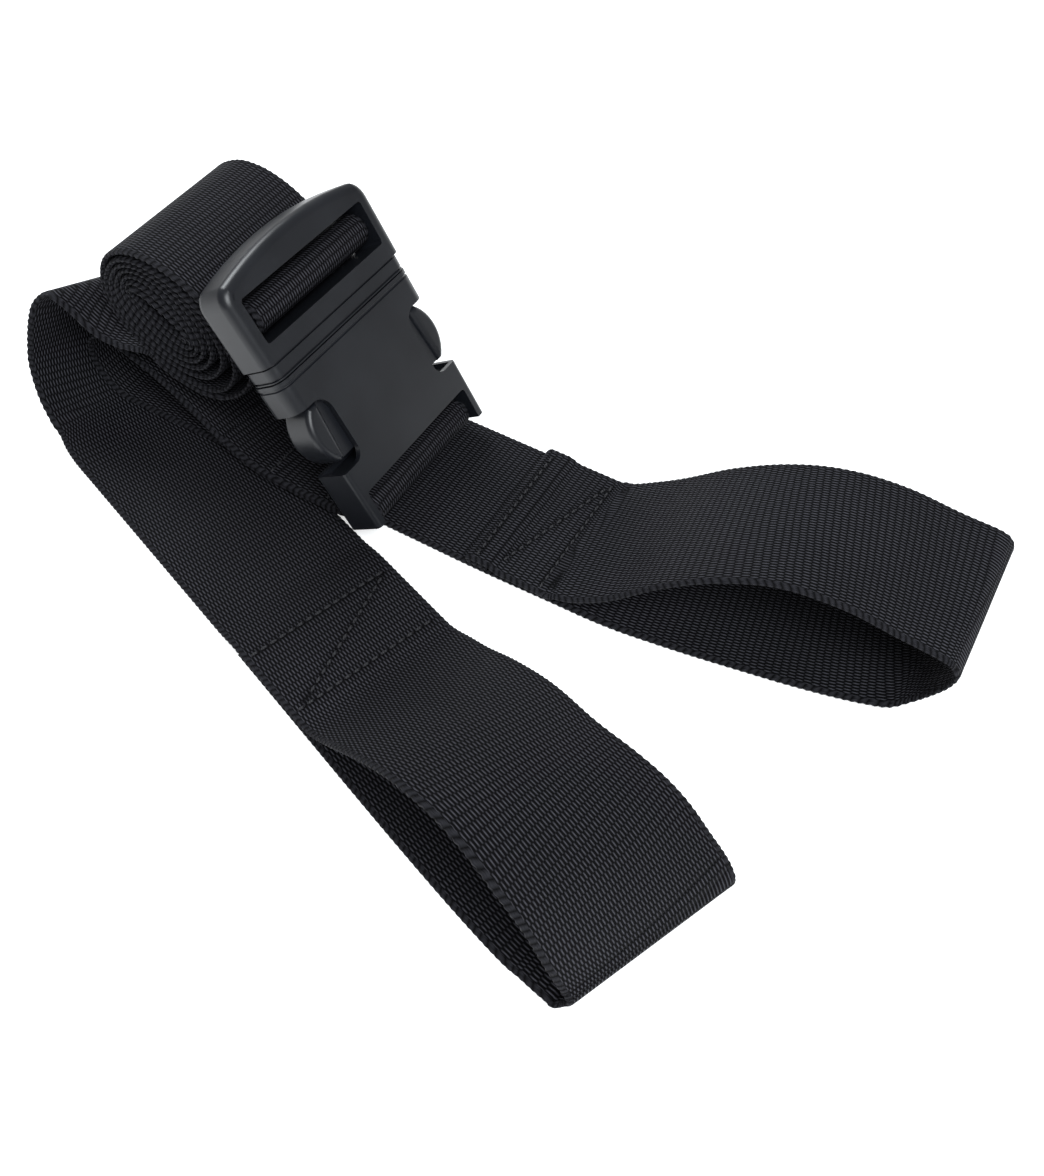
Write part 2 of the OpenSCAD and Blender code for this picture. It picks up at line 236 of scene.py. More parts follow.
@dataclass(frozen=True)
class WovenFinish:
    """Black webbing with staggered floats in rows across it, with painted highlights on
    the floats and edge beads in its colour.
    """

    name: str
    row_pitch: float = 2.0
    float_pitch: float = 1.0
    dark: tuple = (0.0010, 0.0010, 0.0015, 1)
    # Colour of the painted highlight on the floats and edge beads.
    float_highlight: tuple = (0.074, 0.074, 0.088, 1)
    stitch_pitch: float = 3.0
    pressed: tuple[Pressed, ...] = ()

    def material(self) -> bpy.types.Material:
        """Builds the material on the webbing's own UV map, in units of 50 mm."""
        g = Graph(self.name)
        uv = g.node("ShaderNodeUVMap", {"uv_map": "cloth"})
        place = g.node("ShaderNodeTexCoord", None, None, "Object")
        across = g.node("ShaderNodeSeparateXYZ", None, {0: uv}, 0) * 50.0
        along = g.node("ShaderNodeSeparateXYZ", None, {0: uv}, 1) * 50.0
        wander = g.noise(place, 160.0) - 0.5
        drift = g.noise(place, 45.0) - 0.5
        y = along + wander * 0.35 + drift * 0.8
        x = across + wander * 0.18
        rows = (y * (math.pi / self.row_pitch)).cosine()
        ends = (x * (2 * math.pi / self.float_pitch)).cosine()
        floats = (rows * ends).at_least(0.0) ** 0.7
        under = (rows * ends * -1.0).at_least(0.0)
        height = floats * 0.8 + 0.2 - under * 0.2
        # Large noise that makes the painted float highlight patchy.
        patchy_sheen = g.noise(place, 22.0, 4.0)
        fuzz = g.noise(place, 2600.0, 1.0)
        groove_and_shade = self._grooves(g, along, across)
        # Colour share: painted highlight on the raised floats, patchy and fuzzed; the
        # webbing's black stays between them.
        share = (floats * (0.55 + patchy_sheen * 0.7) * (0.7 + fuzz * 0.6)).at_most(1.0)
        # Along the edges the colour follows the beads' ridges as painted highlight
        # stripes.
        rim = ((across - 25.0).size() - 23.5).above(0.0)
        beads = ((along + across * 0.5) * (math.pi / self.row_pitch)).cosine().size()
        # Pressed seam lines and fold creases darken the colour: painted shade in the
        # grooves.
        share = (share + (beads * 0.3 - share) * rim) * (1.0 - groove_and_shade * 0.8)
        height = height * 0.3 + beads * rim * 0.3 - groove_and_shade * 0.8 + fuzz * 0.04
        g.surface(
            Base_Color=g.blend(share, self.dark, self.float_highlight),
            Roughness=0.72 - floats * 0.17 + fuzz * 0.1,
            Specular_IOR_Level=0.1,
            Normal=g.bump(height, 1.0, 0.001),
        )
        return g.material

    def _grooves(self, g: Graph, along: Value, across: Value) -> Value:
        """Works out how deep each point lies in a pressed line; the depth also sets the
        painted shade there.

        Args:
            g: the graph to add to.
            along: the place along the webbing in mm.
            across: the place across it in mm.

        Returns:
            The depth, from 0 to 1.
        """
        depths = []
        for line in self.pressed:
            (a0, c0), (a1, c1) = line.start, line.end
            run = math.hypot(a1 - a0, c1 - c0)
            ua, uc = (a1 - a0) / run, (c1 - c0) / run
            off = ((along - a0) * -uc + (across - c0) * ua).size()
            far = ((along - a0) * ua + (across - c0) * uc - run / 2).size()
            inside = 1.0 - (far - run / 2).above(0.0)
            reach = (along - a0) * ua + (across - c0) * uc
            pull = (reach * (2 * math.pi / self.stitch_pitch)).cosine()
            near = (1.0 - off * (1.0 + pull * 0.3) / line.width).at_least(0.0)
            depths.append(near * near * inside * line.depth)
        return sum(depths[1:], depths[0]).at_most(1.0)


@dataclass(frozen=True)
class MouldedFinish:
    """Charcoal plastic with a satin, faintly clouded skin."""

    name: str
    deep: tuple = (0.0040, 0.0046, 0.0066, 1)
    pale: tuple = (0.015, 0.017, 0.022, 1)

    def material(self) -> bpy.types.Material:
        """Builds the material on object coordinates."""
        g = Graph(self.name)
        place = g.node("ShaderNodeTexCoord", None, None, "Object")
        cloud = g.noise(place, 60.0, 4.0)
        grain = g.noise(place, 2400.0, 2.0)
        scuff = (g.noise(place, 420.0, 6.0) - 0.62).at_least(0.0) * 3.0
        share = (cloud * 0.7 + grain * 0.15 + scuff * 0.4).at_most(1.0)
        g.surface(
            Base_Color=g.blend(share, self.deep, self.pale),
            Roughness=0.30 + cloud * 0.12 + scuff * 0.25,
            Specular_IOR_Level=0.5,
            Normal=g.bump(grain * 0.5 + cloud * 0.5, 0.12, 0.00012),
        )
        return g.material


@dataclass(frozen=True)
class ThreadFinish:
    """Black bonded thread with a twist, with a painted highlight along each twist
    ridge.
    """

    name: str
    colour: tuple = (0.004, 0.004, 0.005, 1)
    # Colour of the painted highlight on the twist ridges.
    light: tuple = (0.04, 0.04, 0.045, 1)

    def material(self) -> bpy.types.Material:
        """Builds the material on object coordinates."""
        g = Graph(self.name)
        place = g.node("ShaderNodeTexCoord", None, None, "Object")
        parts = [g.node("ShaderNodeSeparateXYZ", None, {0: place}, i) for i in range(3)]
        # The twist stripes shape the bump and lighten the colour on each ridge as a
        # painted highlight.
        twist = ((parts[0] + parts[1] * 0.6 + parts[2]) * 9000.0).cosine() * 0.5 + 0.5
        g.surface(
            Base_Color=g.blend(twist, self.colour, self.light),
            Roughness=0.5 + twist * 0.1,
            Specular_IOR_Level=0.3,
            Normal=g.bump(twist, 0.5, 0.0001),
        )
        return g.material


@dataclass(frozen=True)
class PaperFinish:
    """The plain pale surface that the strap lies on."""

    name: str = "pale_surface"

    def material(self) -> bpy.types.Material:
        """Builds the material."""
        g = Graph(self.name)
        place = g.node("ShaderNodeTexCoord", None, None, "Object")
        share = g.noise(place, 3.0)
        g.surface(
            Base_Color=g.blend(share, (0.93, 0.93, 0.93, 1), (0.95, 0.95, 0.95, 1)),
            Roughness=0.9,
            Specular_IOR_Level=0.1,
            Emission_Color=(1, 1, 1, 1),
            Emission_Strength=0.5,
        )
        return g.material


# ---------------------------------------------------------------- moulded pieces


class Solid:
    """One hard piece on the bench, shaped with the modelling operators, in mm."""

    def __init__(self, obj: bpy.types.Object) -> None:
        """Takes up an object."""
        self.obj = obj

    @classmethod
    def block(cls, name: str, low: Point, high: Point) -> "Solid":
        """Adds a block.

        Args:
            name: the piece's name.
            low: its lowest corner.
            high: its highest corner.

        Returns:
            The block.
        """
        bpy.ops.object.select_all(action="DESELECT")
        centre = [(a + b) / 2 * MM for a, b in zip(low, high)]
        bpy.ops.mesh.primitive_cube_add(size=1, location=centre)
        made = bpy.context.object
        made.name, made.scale = name, [(b - a) * MM for a, b in zip(low, high)]
        bpy.ops.object.transform_apply(location=True, rotation=True, scale=True)
        return cls(made)

    @classmethod
    def rod(
        cls,
        name: str,
        centre: Point,
        radius: float,
        length: float,
        axis: Axis,
        sides: int = 48,
    ) -> "Solid":
        """Adds a round rod.

        Args:
            name: the piece's name.
            centre: its middle.
            radius: its radius.
            length: its length.
            axis: the direction that it runs in.
            sides: how many faces go round it.

        Returns:
            The rod.
        """
        turn = {
            Axis.X: (0, math.pi / 2, 0),
            Axis.Y: (math.pi / 2, 0, 0),
            Axis.Z: (0, 0, 0),
        }
        bpy.ops.object.select_all(action="DESELECT")
        bpy.ops.mesh.primitive_cylinder_add(
            vertices=sides,
            radius=radius * MM,
            depth=length * MM,
            location=[c * MM for c in centre],
            rotation=turn[axis],
        )
        made = bpy.context.object
        made.name = name
        bpy.ops.object.transform_apply(location=True, rotation=True, scale=True)
        return cls(made)

    def take(self) -> None:
        """Makes this the only selected piece."""
        bpy.ops.object.select_all(action="DESELECT")
        self.obj.select_set(True)
        bpy.context.view_layer.objects.active = self.obj

    def _select(self, domain: str, test: Callable[..., bool]) -> None:
        """Selects vertices or edges in edit mode.

        Args:
            domain: "verts" or "edges".
            test: takes a vertex's place, or the two ends of an edge, in mm.
        """
        mesh = bmesh.from_edit_mesh(self.obj.data)
        bpy.ops.mesh.select_all(action="DESELECT")
        mesh.select_mode = {"VERT"} if domain == "verts" else {"EDGE"}
        for item in getattr(mesh, domain):
            if domain == "verts":
                item.select_set(bool(test(item.co / MM)))
            else:
                a, b = (v.co / MM for v in item.verts)
                item.select_set(bool(test(a, b)))
        bmesh.update_edit_mesh(self.obj.data)

    def slice_at(self, axis: Axis, places: Iterable[float]) -> "Solid":
        """Adds rings of edges.

        Args:
            axis: the axis that they lie across.
            places: where they are on it.

        Returns:
            The same piece.
        """
        self.take()
        bpy.ops.object.mode_set(mode="EDIT")
        for place in places:
            at, normal = [0.0] * 3, [0.0] * 3
            at[axis.value], normal[axis.value] = place * MM, 1.0
            bpy.ops.mesh.select_all(action="SELECT")
            bpy.ops.mesh.bisect(plane_co=at, plane_no=normal)
        bpy.ops.object.mode_set(mode="OBJECT")
        return self

    def shift(self, test: Callable[[Vector], bool], by: Point) -> "Solid":
        """Moves corners.

        Args:
            test: picks the corners by their place.
            by: how far they move.

        Returns:
            The same piece.
        """
        self.take()
        bpy.ops.object.mode_set(mode="EDIT")
        self._select("verts", test)
        bpy.ops.transform.translate(value=[b * MM for b in by])
        bpy.ops.object.mode_set(mode="OBJECT")
        return self

    def narrow(self, test: Callable[[Vector], bool], by: Point) -> "Solid":
        """Scales corners about the bench's origin.

        Args:
            test: picks the corners by their place.
            by: the scale on each axis.

        Returns:
            The same piece.
        """
        self.take()
        bpy.ops.object.mode_set(mode="EDIT")
        self._select("verts", test)
        bpy.ops.transform.resize(value=by, center_override=(0, 0, 0))
        bpy.ops.object.mode_set(mode="OBJECT")
        return self

    def round_edges(
        self, test: Callable[[Vector, Vector], bool], width: float, steps: int
    ) -> "Solid":
        """Rounds edges.

        Args:
            test: picks the edges by their two ends.
            width: how far in the rounding reaches.
            steps: how many faces it has.

        Returns:
            The same piece.
        """
        self.take()
        bpy.ops.object.mode_set(mode="EDIT")
        self._select("edges", test)
        bpy.ops.mesh.bevel(offset=width * MM, segments=steps, affect="EDGES")
        bpy.ops.mesh.select_all(action="SELECT")
        bpy.ops.mesh.remove_doubles(threshold=0.002 * MM)
        bpy.ops.object.mode_set(mode="OBJECT")
        return self

    def _combine(self, other: "Solid", operation: str) -> "Solid":
        """Applies a boolean with another piece, which is used up."""
        step = self.obj.modifiers.new(operation.lower(), "BOOLEAN")
        step.operation, step.solver, step.object = operation, "EXACT", other.obj
        self.take()
        bpy.ops.object.modifier_apply(modifier=step.name)
        bpy.data.objects.remove(other.obj)
        return self

    def cut(self, other: "Solid") -> "Solid":
        """Takes another piece out of this one."""
        return self._combine(other, "DIFFERENCE")

    def add(self, other: "Solid") -> "Solid":
        """Merges another piece into this one."""
        return self._combine(other, "UNION")

    def soften(self, width: float, steps: int = 3, angle: float = 32.0) -> "Solid":
        """Breaks every sharp edge, as a mould does, and smooths the shading.

        Args:
            width: the width of the break.
            steps: how many faces it has.
            angle: the angle in degrees above which an edge is sharp.

        Returns:
            The same piece.
        """
        self.take()
        step = self.obj.modifiers.new("edge_break", "BEVEL")
        step.width, step.segments = width * MM, steps
        step.limit_method, step.angle_limit = "ANGLE", math.radians(angle)
        step.use_clamp_overlap, step.harden_normals = True, False
        bpy.ops.object.modifier_apply(modifier=step.name)
        bpy.ops.object.mode_set(mode="EDIT")
        bpy.ops.mesh.select_all(action="SELECT")
        bpy.ops.mesh.remove_doubles(threshold=0.003 * MM)
        bpy.ops.mesh.normals_make_consistent(inside=False)
        bpy.ops.object.mode_set(mode="OBJECT")
        bpy.ops.object.shade_smooth_by_angle(angle=SHADE_ANGLE)
        flat = self.obj.modifiers.new("flat_faces", "WEIGHTED_NORMAL")
        flat.keep_sharp, flat.weight = True, 80
        bpy.ops.object.modifier_apply(modifier=flat.name)
        return self

    def place(self, matrix: Matrix) -> bpy.types.Object:
        """Turns the piece from the bench into its place and returns its object."""
        self.take()
        self.obj.matrix_world = matrix
        bpy.ops.object.transform_apply(location=True, rotation=True, scale=True)
        return self.obj


# ---------------------------------------------------------------- where things lie


@dataclass
class BucklePlace:
    """The buckle's own directions, with X from its outer end to its bar."""

    bar_x: float = 74.0

    def __post_init__(self) -> None:
        """Reads the joints."""
        joints = {j["name"]: j for j in frame["joints"]}
        self.along = -Vector(joints["buckle_release"]["axis"]).normalized()
        self.across = Vector(joints["buckle_swing"]["axis"]).normalized()
        self.up = self.along.cross(self.across).normalized()
        self.bar = Vector(joints["buckle_swing"]["pos_m"])

    def matrix(self) -> Matrix:
        """The matrix from the bench, in the buckle's own plane, to its place."""
        turn = Matrix((self.along, self.across, self.up)).transposed().to_4x4()
        shift = Matrix.Translation(Vector((-self.bar_x * MM, 0, 0)))
        return Matrix.Translation(self.bar) @ turn @ shift

    def point(self, x: float, y: float, z: float) -> Vector:
        """A point of the buckle's plane, in mm in the row's frame."""
        return (self.matrix() @ Vector((x * MM, y * MM, z * MM))) / MM

    def ring(self, x: float, y: float, z: float) -> Ring:
        """A route ring that lies across the buckle."""
        turn = math.degrees(math.atan2(self.across.y, self.across.x))
        dip = -math.degrees(math.asin(self.across.z))
        return (*self.point(x, y, z), turn, dip)


# ---------------------------------------------------------------- webbing


@dataclass
class Webbing:
    """A length of webbing that follows a route of rings.

    A ring is (x, y, z, direction across in degrees, dip of its far edge in degrees).
    """

    name: str
    rings: list[Ring]
    start: int = 0
    end: int | None = None
    width: float = 50.0
    thickness: float = 1.4
    step: float = 0.5
    scallop: float = 2.0
    along_offset: float = 0.0

    EDGE = (24.5, 23.6, 22.2)
    INNER = (19.0, 15.0, 11.0, 7.0, 3.5, 0.0)

    def _curve(self) -> tuple[np.ndarray, np.ndarray]:
        """Samples the route closely, and sets this stretch's length and tangents.

        Returns:
            The points with their across angles, and the length along to each.
        """
        p = np.array(self.rings, float)
        rows, marks = [], []
        for i in range(len(p) - 1):
            a, b, c, d = p[max(i - 1, 0)], p[i], p[i + 1], p[min(i + 2, len(p) - 1)]
            f = np.linspace(0, 1, SAMPLES_PER_RING, endpoint=False)[:, None]
            marks.append(len(rows) * SAMPLES_PER_RING)
            rows.append(
                0.5
                * (
                    2 * b
                    + (c - a) * f
                    + (2 * a - 5 * b + 4 * c - d) * f**2
                    + (3 * b - a - 3 * c + d) * f**3
                )
            )
        dense = np.vstack([*rows, p[-1:]])
        marks.append(len(dense) - 1)
        gaps = np.linalg.norm(np.diff(dense[:, :3], axis=0), axis=1)
        length = np.concatenate([[0], np.cumsum(gaps)])
        last = self.end if self.end is not None else len(self.rings) - 1
        low, high = length[marks[self.start]], length[marks[last]]
        count = max(2, int(round((high - low) / self.step)))
        stops = np.linspace(low, high, count + 1)
        even = np.stack(
            [np.interp(stops, length, dense[:, k]) for k in range(5)], axis=1
        )
        ahead = np.stack(
            [np.interp(stops + 0.6, length, dense[:, k]) for k in range(3)], axis=1
        )
        behind = np.stack(
            [np.interp(stops - 0.6, length, dense[:, k]) for k in range(3)], axis=1
        )
        self.tangents = ahead - behind
        self.tangents /= np.linalg.norm(self.tangents, axis=1)[:, None]
        self.length = high - low
        return even, stops

    def measure(self) -> float:
        """The length of this stretch."""
        self._curve()
        return self.length

    def _profile(self) -> list[tuple[float, float]]:
        """The cross-section as (across, up) in mm, from the near edge's top round."""
        half, t = self.width / 2, self.thickness / 2
        mirrored = (-u for u in self.EDGE + self.INNER[:-1])
        top = sorted([*self.EDGE, *self.INNER, *mirrored])
        up = [(u, t * (0.8 if abs(u) > 24 else 1.0)) for u in top]
        side = [(half, t * 0.3), (half, -t * 0.3)]
        down = [(u, -z) for u, z in reversed(up)]
        return up + side + down + [(-half, -t * 0.3), (-half, t * 0.3)]

    def build(self, material: bpy.types.Material) -> bpy.types.Object:
        """Makes the webbing's mesh, with its beaded edges and its UV map.

        Args:
            material: its finish.

        Returns:
            The finished piece.
        """
        even, stops = self._curve()
        turn, dip = np.radians(even[:, 3]), np.radians(even[:, 4])
        across = np.stack(
            [np.cos(turn) * np.cos(dip), np.sin(turn) * np.cos(dip), -np.sin(dip)],
            axis=1,
        )
        slant = (across * self.tangents).sum(1)[:, None]
        lean = np.linalg.norm(across - slant * self.tangents, axis=1)[:, None]
        up = np.cross(self.tangents, across)
        up /= np.linalg.norm(up, axis=1)[:, None]
        profile = self._profile()
        beat = 2 * np.pi * stops / self.scallop
        points, cloth = [], []
        for u, z in profile:
            edge = max(0.0, (abs(u) - 22.4) / 2.6)
            out = math.copysign(1, u) * (0.1 * np.cos(beat) - 0.05) * edge
            lift = 0.11 * np.sin(beat + (0 if u > 0 else 2.0)) * edge
            reach = (u + out)[:, None] / lean
            points.append(even[:, :3] + across * reach + up * (z + lift)[:, None])
            shift = (reach * slant)[:, 0]
            cloth.append(
                np.stack(
                    [np.full(len(stops), u / 50 + 0.5), (stops + shift) / 50], axis=1
                )
            )
        n, m = len(stops), len(profile)
        verts = np.stack(points, axis=1).reshape(-1, 3) * MM
        uv = np.stack(cloth, axis=1).reshape(-1, 2)
        i = np.arange(n - 1)[:, None] * m
        k = np.arange(m)[None]
        j = (np.arange(m) + 1) % m
        quads = np.stack([i + k, i + j, i + m + j, i + m + k], axis=2).reshape(-1, 4)
        faces = [tuple(q) for q in quads.tolist()]
        faces.append(tuple(range(m - 1, -1, -1)))
        faces.append(tuple(range((n - 1) * m, n * m)))
        mesh = bpy.data.meshes.new(self.name)
        mesh.from_pydata(verts.tolist(), [], faces)
        layer = mesh.uv_layers.new(name="cloth")
        index = np.zeros(len(mesh.loops), np.int32)
        mesh.loops.foreach_get("vertex_index", index)
        layer.data.foreach_set("uv", uv[index].astype(np.float32).ravel())
        mesh.materials.append(material)
        piece = bpy.data.objects.new(self.name, mesh)
        bpy.context.scene.collection.objects.link(piece)
        bpy.ops.object.select_all(action="DESELECT")
        piece.select_set(True)
        bpy.context.view_layer.objects.active = piece
        bpy.ops.object.mode_set(mode="EDIT")
        bpy.ops.mesh.select_all(action="SELECT")
        bpy.ops.mesh.normals_make_consistent(inside=False)
        bpy.ops.object.mode_set(mode="OBJECT")
        bpy.ops.object.shade_smooth_by_angle(angle=CLOTH_ANGLE)
        self.width * MM
        LOG.info("%s: %.0f mm of webbing", self.name, self.length)
        return piece


@dataclass
class StitchRow:
    """Where a row of stitches starts and ends, in mm."""

    start: Point
    end: Point


@dataclass
class Seam:
    """Rows of stitches, made from one stitch that is modelled once and repeated."""

    name: str
    rows: list[StitchRow]
    matrix: Matrix = field(default_factory=lambda: Matrix.Identity(4))
    stitch: float = 2.5
    pitch: float = 3.0
    thread: float = 0.9

    def build(self, material: bpy.types.Material) -> bpy.types.Object:
        """Models one stitch, repeats it along each row and joins the rows.

        Args:
            material: the thread's finish.

        Returns:
            The finished piece.
        """
        made = [self._row(row) for row in self.rows]
        bpy.ops.object.select_all(action="DESELECT")
        for obj in made:
            obj.select_set(True)
        bpy.context.view_layer.objects.active = made[0]
        bpy.ops.object.join()
        piece = bpy.context.object
        piece.name = self.name
        piece.data.materials.clear()
        piece.data.materials.append(material)
        bpy.ops.object.shade_smooth()
        piece.matrix_world = self.matrix
        bpy.ops.object.transform_apply(location=True, rotation=True, scale=True)
        LOG.info("%s: %d rows", self.name, len(self.rows))
        return piece

    def _row(self, row: StitchRow) -> bpy.types.Object:
        """Makes one row with an array of the stitch.

        Args:
            row: where it starts and ends.

        Returns:
            The row.
        """
        run = Vector(row.end) - Vector(row.start)
        bpy.ops.object.select_all(action="DESELECT")
        bpy.ops.mesh.primitive_uv_sphere_add(segments=8, ring_count=6, radius=MM / 2)
        obj = bpy.context.object
        bpy.ops.object.mode_set(mode="EDIT")
        bpy.ops.mesh.select_all(action="SELECT")
        bpy.ops.transform.resize(
            value=(self.stitch, self.thread, self.thread), center_override=(0, 0, 0)
        )
        bpy.ops.object.mode_set(mode="OBJECT")
        step = obj.modifiers.new("repeat", "ARRAY")
        step.count = max(1, int(run.length / self.pitch))
        step.use_relative_offset, step.use_constant_offset = False, True
        step.constant_offset_displace = (self.pitch * MM, 0, 0)
        bpy.ops.object.modifier_apply(modifier=step.name)
        turn = Vector((1, 0, 0)).rotation_difference(run.normalized())
        start = Vector(row.start) + run.normalized() * self.stitch / 2
        obj.matrix_world = Matrix.Translation(start * MM) @ turn.to_matrix().to_4x4()
        bpy.ops.object.transform_apply(location=True, rotation=True, scale=True)
        return obj


LAYER = 1.5
LEVEL = tuple(0.7 + LAYER * i for i in range(4))


@dataclass
class Roll:
    """The spare webbing, wound flat, tight at its left and loose at its right."""

    centre: Point = (-79.5, -2.0, 48.5)
    long_half: float = 25.0
    short_half: float = 20.0
    slope: float = 33.0
    turns: float = 6.6

    def ring(self, turn: float, out: float) -> Ring:
        """A ring on the roll's outline, a distance outside it."""
        return self._at(
            (self.long_half + out) * math.cos(math.radians(turn)),
            (self.short_half + out) * math.sin(math.radians(turn)),
            0.0,
        )

    def _at(self, long: float, short: float, shift: float) -> Ring:
        """A ring at a place in the roll's own cross-section."""
        s = math.radians(self.slope)
        cx, cy, cz = self.centre
        x = cx + long * math.cos(s) + short * math.sin(s)
        z = cz - long * math.sin(s) + short * math.cos(s)
        return (x, cy + shift, z, 90.0, 0.0)

    def spiral(self, first: float) -> list[Ring]:
        """The turns inside the outermost one.

        Args:
            first: the angle in degrees at which the spiral starts, on its way round.

        Returns:
            Its rings, 15 degrees apart.
        """
        inward = (0.0, 5.2, 9.2, 12.2, 14.2, 16.1, 18.0, 19.6)
        rings = []
        for k in range(int(self.turns * 24)):
            done = k / 24
            a = math.radians(first + done * 360)
            hi = 24.3 - float(np.interp(done, range(len(inward)), inward))
            lo = 24.2 - 1.58 * done
            half, mid = (hi + lo) / 2, (hi - lo) / 2
            tall = 19.3 - 2.72 * done
            c, s = math.cos(a), math.sin(a)
            x = mid + half * math.copysign(abs(c) ** 0.88, c)
            z = tall * math.copysign(abs(s) ** 0.88, s)
            rings.append(self._at(x, z, 0.5 * math.sin(done * 5.3) * min(1.0, done)))
        return rings


@dataclass
class AdjustableStrap:
    """The strap through the male half: loop, run, bend, lead and rolled-up spare."""

    at: tuple[float, float] = (-15.4, -59.4)
    angle: float = 18.9
    fold: float = 133.0
    height: float = 34.5

    def ring(
        self, x: float, y: float, z: float, turn: float = 0, dip: float = 0
    ) -> Ring:
        """A ring measured along the strap from beside the buckle."""
        a = math.radians(self.angle)
        px = self.at[0] + x * math.cos(a) + y * math.sin(a)
        py = self.at[1] - x * math.sin(a) + y * math.cos(a)
        return (px, py, z, 90 - self.angle - turn, dip)

    def loop(self) -> list[Ring]:
        """The sewn loop, from the raw end underneath to the top of its seam."""
        f, h, r = self.fold, self.height, self.ring
        return [
            r(2, 0, LEVEL[0]),
            r(70, -0.5, LEVEL[0]),
            r(f - 28, 0, LEVEL[0]),
            r(f - 14, 1.5, LEVEL[0] + 0.1, 1),
            r(f - 5, 3, 1.4, 3),
            r(f - 0.5, 4.3, 3.4, 5),
            r(f + 0.6, 4.5, 6, 5),
            r(f - 1.5, 4.5, 9.5, 5),
            r(f - 7, 3.5, 17.5, 4, 4),
            r(f - 16, 2.5, 27, 3, 9),
            r(f - 28, 1, 33.5, 1, 13),
            r(f - 42, 0, h, 0, 16),
            r(76, 0, h * 0.88, 0, 13),
            r(62, 0, h * 0.64, 0, 9),
            r(50, 0, h * 0.37, 0, 5),
            r(42, 0, 7, 0, 1),
            r(37, 0, 3.9),
            r(33.5, 0, 2.5),
            r(31.2, 0, LEVEL[1] + 0.05),
        ]

    def run(self) -> list[Ring]:
        """The run on the surface, from the seam to the bend."""
        r = self.ring
        return [
            r(26, 0, LEVEL[1]),
            r(14, 0, LEVEL[1]),
            r(2, 0, LEVEL[1]),
            r(-2, 0, LEVEL[1] - 0.35),
            r(-6, 0, LEVEL[0] + 0.35),
            r(-10, 0, LEVEL[0]),
            r(-30, 0, LEVEL[0]),
            r(-55, 0, LEVEL[0], -1),
            r(-80, 0, LEVEL[0], -3),
            r(-92, 0.1, LEVEL[0] + 0.05, -6),
            (-115.5, -24.0, 1.5, 84.5, 0.8),
        ]

    def bend(self) -> list[Ring]:
        """Up and over to the underside of the roll."""
        return [
            (-121.5, -21.9, 4.2, 85, 2.4),
            (-126.2, -19.4, 10.0, 84.6, 4.6),
            (-129.5, -15, 21, 83, 8),
            (-124.5, -11, 35, 81, 14),
            (-115, -8, 40.5, 80, 17),
            (-107, -6, 36, 82, 11),
            (-101, -4, 33, 86, 4),
        ]

    def build(self, place: BucklePlace, roll: Roll) -> list[bpy.types.Object]:
        """Makes the strap in four pieces that meet end to end.

        Args:
            place: where the buckle is.
            roll: the rolled-up spare.

        Returns:
            The pieces.
        """
        ground = self.loop() + self.run()
        bend = self.bend()
        under = []
        for t in np.arange(262, 388, 12.5):
            x, y, z, turn, dip = roll.ring(t, 1.0)
            under.append((x, y + max(0.0, t - 320) * 0.055, z, turn, dip))
        climb = [place.ring(15.4, 1, -11), place.ring(16.3, 1, -6.4)]
        over = [
            place.ring(x, 1, z)
            for x, z in (
                (15.9, -2.0),
                (14.9, 1.5),
                (13.1, 3.5),
                (11.1, 4.0),
                (9.1, 3.5),
                (7.5, 1.5),
                (7.1, -2.0),
                (7.4, -6.2),
                (8.4, -9.4),
            )
        ]
        top = [roll.ring(t, 1.0) for t in (76, 88, 100, 112, 124)]
        top += [roll.ring(140, 0.8), roll.ring(160, 0.2), roll.ring(180, -0.3)]
        rings = ground + bend + under + climb + over + top + roll.spiral(200.0)
        finish = WovenFinish("black_webbing_adjustable", pressed=self._pressed())
        cloth = finish.material()
        a = len(ground) - 1
        b = a + len(bend) + 1
        c = b + len(under) - 1 + len(climb)
        flat = Webbing("adjust_webbing_ground", rings, 0, a).build(cloth)
        rise = Webbing("adjust_webbing_bend", rings, a, b).build(cloth)
        lead = Webbing("adjust_webbing_lead", rings, b, c).build(cloth)
        wound = Webbing("adjust_webbing_roll", rings, c, None).build(cloth)
        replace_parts(flat, "adjust_strap_loop", "adjust_strap_floor_run")
        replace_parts(rise, "adjust_strap_outer_bend", "adjust_strap_upper_run")
        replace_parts(lead, "adjust_strap_load_lead")
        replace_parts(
            wound,
            "adjust_strap_bar_wrap",
            "adjust_strap_tail_lead",
            "adjust_strap_tail_roll",
        )
        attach(flat, "root")
        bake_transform(rise)
        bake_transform(lead)
        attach(wound, "male")
        return [flat, rise, lead, wound]

    def _pressed(self) -> tuple[Pressed, ...]:
        """The lines that the seam and the fold leave, measured along the webbing."""
        end = Webbing("", self.loop() + self.run(), 0, len(self.loop()) - 1).measure()
        near, far = 3.0, 47.0
        one, two = end + 31.2 - 28.5, end + 31.2 - 6.0
        fold = Webbing("", self.loop(), 0, 5).measure()
        lines = [
            Pressed((one, near), (one, far)),
            Pressed((two, near), (two, far)),
            Pressed((one + 1, near + 1.5), (two - 1, far - 1.5)),
        ]
        lines += [
            Pressed((fold + d, 0.0), (fold + d, 50.0), 0.8, 0.7)
            for d in (1.5, 4.5, 8.0)
        ]
        return tuple(lines)

    def seam(self) -> bpy.types.Object:
        """The seam of the loop."""
        top = LEVEL[1] + 0.7 + 0.12
        a = math.radians(self.angle)
        turn = Matrix.Rotation(-a, 4, "Z")
        shift = Matrix.Translation(Vector((self.at[0] * MM, self.at[1] * MM, 0)))
        rows = [
            StitchRow((6, -23, top), (6, 23, top)),
            StitchRow((28.5, -23, top), (28.5, 23, top)),
            StitchRow((7.5, 20, top), (27.5, -20, top)),
        ]
        seam = Seam("adjust_loop_seam", rows, shift @ turn)
        piece = seam.build(ThreadFinish("black_thread_adjustable").material())
        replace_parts(piece, "adjust_loop_stitching")
        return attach(piece, "root")


